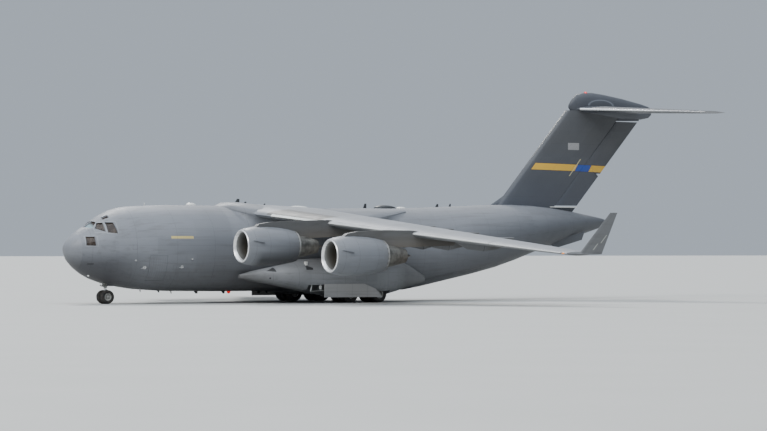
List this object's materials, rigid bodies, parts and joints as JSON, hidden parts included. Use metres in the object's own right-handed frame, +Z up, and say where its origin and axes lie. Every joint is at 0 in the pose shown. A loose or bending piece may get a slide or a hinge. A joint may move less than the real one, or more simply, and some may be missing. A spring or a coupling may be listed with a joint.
{
  "type": "four-jet military transport aircraft, half-size model",
  "caption": "Half-size model of a high-wing jet freighter with a T tail, winglets, side gear pods, a rear ramp, and working flaps, rudders, elevators, fans and wheels.",
  "frame": {"origin": "on the ground, in the middle of the overall length, on the plane of symmetry", "axes": "+X aft, +Y to starboard, +Z up; the nose points along -X"},
  "size_m": [26.52, 25.8966, 8.3916],
  "materials": {
    "airframe_grey": "matt mid grey paint, lightly weathered",
    "tail_grey": "matt darker grey paint",
    "bare_metal": "satin titanium blades",
    "hot_metal": "heat-stained nozzle metal and painted pylon",
    "glass": "dark tinted",
    "interior": "matt light grey-green",
    "gear_white": "gloss white paint, dusty",
    "tyre": "matt rubber on white rims"
  },
  "bodies": {
    "airframe": {"radome": "tail_grey", "forward_fuselage": "airframe_grey", "flight_deck_glazing": "glass", "flight_deck": "interior", "centre_fuselage": "airframe_grey", "aft_fuselage": "airframe_grey", "paratroop_door_port": "airframe_grey", "paratroop_door_starboard": "airframe_grey", "cargo_floor": "interior", "wing_root_fairing": "airframe_grey", "fin": "tail_grey", "tailplane": "tail_grey", "nose_gear_leg": "gear_white", "wing_port": "airframe_grey", "winglet_port": "airframe_grey", "gear_pod_port": "airframe_grey", "gear_door_port": "gear_white", "main_gear_legs_port": "gear_white", "wing_starboard": "airframe_grey", "winglet_starboard": "airframe_grey", "gear_pod_starboard": "airframe_grey", "gear_door_starboard": "gear_white", "main_gear_legs_starboard": "gear_white", "engine_core_outer_port": "hot_metal", "nacelle_outer_port": "airframe_grey", "engine_core_inner_port": "hot_metal", "nacelle_inner_port": "airframe_grey", "engine_core_inner_starboard": "hot_metal", "nacelle_inner_starboard": "airframe_grey", "engine_core_outer_starboard": "hot_metal", "nacelle_outer_starboard": "airframe_grey"},
    "fan_outer_port": {"fan_outer_port": "bare_metal"},
    "fan_inner_port": {"fan_inner_port": "bare_metal"},
    "fan_inner_starboard": {"fan_inner_starboard": "bare_metal"},
    "fan_outer_starboard": {"fan_outer_starboard": "bare_metal"},
    "main_wheels_front_port": {"main_wheels_front_port": "tyre"},
    "main_wheels_rear_port": {"main_wheels_rear_port": "tyre"},
    "flap_inboard_port": {"flap_inboard_port": "airframe_grey"},
    "flap_outboard_port": {"flap_outboard_port": "airframe_grey"},
    "aileron_port": {"aileron_port": "airframe_grey"},
    "elevator_port": {"elevator_port": "tail_grey"},
    "main_wheels_front_starboard": {"main_wheels_front_starboard": "tyre"},
    "main_wheels_rear_starboard": {"main_wheels_rear_starboard": "tyre"},
    "flap_inboard_starboard": {"flap_inboard_starboard": "airframe_grey"},
    "flap_outboard_starboard": {"flap_outboard_starboard": "airframe_grey"},
    "aileron_starboard": {"aileron_starboard": "airframe_grey"},
    "elevator_starboard": {"elevator_starboard": "tail_grey"},
    "rudder_lower": {"rudder_lower": "tail_grey"},
    "rudder_upper": {"rudder_upper": "tail_grey"},
    "nose_gear_fork": {"nose_gear_fork": "gear_white"},
    "nose_wheels": {"nose_wheels": "tyre"},
    "crew_door": {"crew_door": "airframe_grey"},
    "cargo_ramp": {"cargo_ramp": "airframe_grey"},
    "cargo_door": {"cargo_door": "airframe_grey"}
  },
  "joints": [
    {"name": "fan_spin_outer_port", "type": "hinge", "parent": "airframe", "child": "fan_outer_port", "pos_m": [-5.55, -7.15, 1.765], "axis": [1, 0, 0], "continuous": true},
    {"name": "fan_spin_inner_port", "type": "hinge", "parent": "airframe", "child": "fan_inner_port", "pos_m": [-7.485, -4.1, 2.115], "axis": [1, 0, 0], "continuous": true},
    {"name": "fan_spin_inner_starboard", "type": "hinge", "parent": "airframe", "child": "fan_inner_starboard", "pos_m": [-7.485, 4.1, 2.115], "axis": [1, 0, 0], "continuous": true},
    {"name": "fan_spin_outer_starboard", "type": "hinge", "parent": "airframe", "child": "fan_outer_starboard", "pos_m": [-5.55, 7.15, 1.765], "axis": [1, 0, 0], "continuous": true},
    {"name": "main_wheel_spin_front_port", "type": "hinge", "parent": "airframe", "child": "main_wheels_front_port", "pos_m": [-2.685, -2.145, 0.3175], "axis": [0, 1, 0], "continuous": true},
    {"name": "main_wheel_spin_rear_port", "type": "hinge", "parent": "airframe", "child": "main_wheels_rear_port", "pos_m": [-1.435, -2.145, 0.3175], "axis": [0, 1, 0], "continuous": true},
    {"name": "flap_inboard_hinge_port", "type": "hinge", "parent": "airframe", "child": "flap_inboard_port", "pos_m": [-1.826, -3.845, 2.0475], "axis": [-0.3307, 0.9427, 0.0444], "range_deg": [0, 40]},
    {"name": "flap_outboard_hinge_port", "type": "hinge", "parent": "airframe", "child": "flap_outboard_port", "pos_m": [-0.7648, -6.87, 1.925], "axis": [-0.331, 0.9434, 0.0194], "range_deg": [0, 40]},
    {"name": "aileron_hinge_port", "type": "hinge", "parent": "airframe", "child": "aileron_port", "pos_m": [0.5634, -10.4125, 2.1248], "axis": [-0.3183, 0.9406, 0.118], "range_deg": [-25, 20]},
    {"name": "elevator_hinge_port", "type": "hinge", "parent": "airframe", "child": "elevator_port", "pos_m": [12.2822, -2.6525, 7.5731], "axis": [-0.2825, 0.9579, 0.0513], "range_deg": [-25, 18]},
    {"name": "main_wheel_spin_front_starboard", "type": "hinge", "parent": "airframe", "child": "main_wheels_front_starboard", "pos_m": [-2.685, 2.145, 0.3175], "axis": [0, 1, 0], "continuous": true},
    {"name": "main_wheel_spin_rear_starboard", "type": "hinge", "parent": "airframe", "child": "main_wheels_rear_starboard", "pos_m": [-1.435, 2.145, 0.3175], "axis": [0, 1, 0], "continuous": true},
    {"name": "flap_inboard_hinge_starboard", "type": "hinge", "parent": "airframe", "child": "flap_inboard_starboard", "pos_m": [-1.826, 3.845, 2.0475], "axis": [0.3307, 0.9427, -0.0444], "range_deg": [0, 40]},
    {"name": "flap_outboard_hinge_starboard", "type": "hinge", "parent": "airframe", "child": "flap_outboard_starboard", "pos_m": [-0.7648, 6.87, 1.925], "axis": [0.331, 0.9434, -0.0194], "range_deg": [0, 40]},
    {"name": "aileron_hinge_starboard", "type": "hinge", "parent": "airframe", "child": "aileron_starboard", "pos_m": [0.5634, 10.4125, 2.1248], "axis": [0.3183, 0.9406, -0.118], "range_deg": [-25, 20]},
    {"name": "elevator_hinge_starboard", "type": "hinge", "parent": "airframe", "child": "elevator_starboard", "pos_m": [12.2822, 2.6525, 7.5731], "axis": [0.2825, 0.9579, -0.0513], "range_deg": [-25, 18]},
    {"name": "rudder_hinge_lower", "type": "hinge", "parent": "airframe", "child": "rudder_lower", "pos_m": [8.8916, 0, 4.3275], "axis": [0.6583, 0, 0.7527], "range_deg": [-25, 25]},
    {"name": "rudder_hinge_upper", "type": "hinge", "parent": "airframe", "child": "rudder_upper", "pos_m": [11.1392, 0, 6.8975], "axis": [0.6583, 0, 0.7527], "range_deg": [-25, 25]},
    {"name": "nose_steer", "type": "hinge", "parent": "airframe", "child": "nose_gear_fork", "pos_m": [-11.585, 0, 0.548], "axis": [0, 0, 1], "range_deg": [-65, 65]},
    {"name": "nose_wheel_spin", "type": "hinge", "parent": "nose_gear_fork", "child": "nose_wheels", "pos_m": [-11.585, 0, 0.254], "axis": [0, 1, 0], "continuous": true},
    {"name": "crew_door_hinge", "type": "hinge", "parent": "airframe", "child": "crew_door", "pos_m": [-10.14, -1.24, 0.86], "axis": [1, 0, 0], "range_deg": [0, 105]},
    {"name": "cargo_ramp_hinge", "type": "hinge", "parent": "airframe", "child": "cargo_ramp", "pos_m": [1.23, 0, 0.45], "axis": [0, 1, 0], "range_deg": [0, 18]},
    {"name": "cargo_door_hinge", "type": "hinge", "parent": "airframe", "child": "cargo_door", "pos_m": [7.28, 0, 2.08], "axis": [0, 1, 0], "range_deg": [0, 33]}
  ]
}
